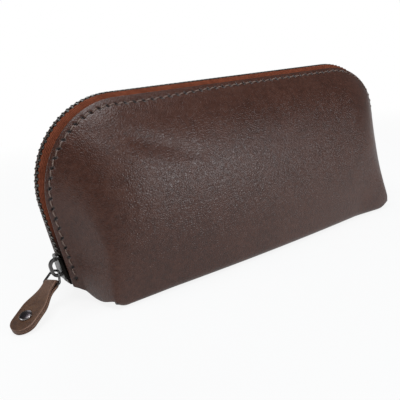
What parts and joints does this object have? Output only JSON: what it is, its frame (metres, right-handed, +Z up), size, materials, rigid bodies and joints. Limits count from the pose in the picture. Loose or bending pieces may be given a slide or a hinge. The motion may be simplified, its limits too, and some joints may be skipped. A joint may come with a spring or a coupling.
{
  "type": "zip glasses case",
  "caption": "Standing soft leather glasses case with a flat base, domed panels and a metal zip running end to end over the top, pulled by a riveted leather tab.",
  "frame": {"origin": "middle of the base, on the surface that the case stands on", "axes": "+X along the case, away from the end with the zip's slider; -Y the front panel; +Z up; the zip lies in the plane Y = 0"},
  "size_m": [0.2296, 0.0584, 0.0839],
  "materials": {
    "leather": "smooth waxed dark brown leather, mottled",
    "tab_leather": "smooth brown leather, a little redder",
    "lining_cloth": "plain brown cotton",
    "zip_tape": "woven rust-brown tape",
    "zip_metal": "antique gunmetal",
    "slider_metal": "gunmetal, lightly worn",
    "rivet_metal": "dark polished gunmetal"
  },
  "bodies": {
    "shell": {"back_panel": "leather", "base_panel": "leather", "back_lining": "lining_cloth", "base_lining": "lining_cloth", "zip_tape_back": "zip_tape", "zip_teeth_back": "zip_metal", "zip_stops_left": "zip_metal", "zip_stop_right": "zip_metal"},
    "front": {"front_panel": "leather", "front_lining": "lining_cloth", "zip_tape_front": "zip_tape", "zip_teeth_front": "zip_metal"},
    "slider": {"slider_body": "slider_metal", "slider_crown": "slider_metal"},
    "ring": {"pull_ring": "slider_metal"},
    "tab": {"pull_tab": "tab_leather", "rivet_head": "rivet_metal", "rivet_back": "rivet_metal"}
  },
  "joints": [
    {"name": "mouth_open", "type": "hinge", "parent": "shell", "child": "front", "pos_m": [0, -0.02783, 0.00117], "axis": [1, 0, 0], "range_deg": [0, 40], "deforming": ["zip_tape_front", "zip_teeth_front"]},
    {"name": "zip_travel", "type": "slide", "parent": "shell", "child": "slider", "axis": [-0.1564, 0, 0.9877], "range_m": [0, 0.021], "deforming": ["zip_teeth_front", "zip_teeth_back"]},
    {"name": "ring_swing", "type": "hinge", "parent": "slider", "child": "ring", "pos_m": [-0.10077, 0, 0.01404], "axis": [-0.5736, 0.8192, 0], "range_deg": [-35, 65]},
    {"name": "tab_swing", "type": "hinge", "parent": "ring", "child": "tab", "pos_m": [-0.10476, -0.0017, 0.0098], "axis": [-0.5736, 0.8192, 0], "range_deg": [-45, 30]}
  ]
}
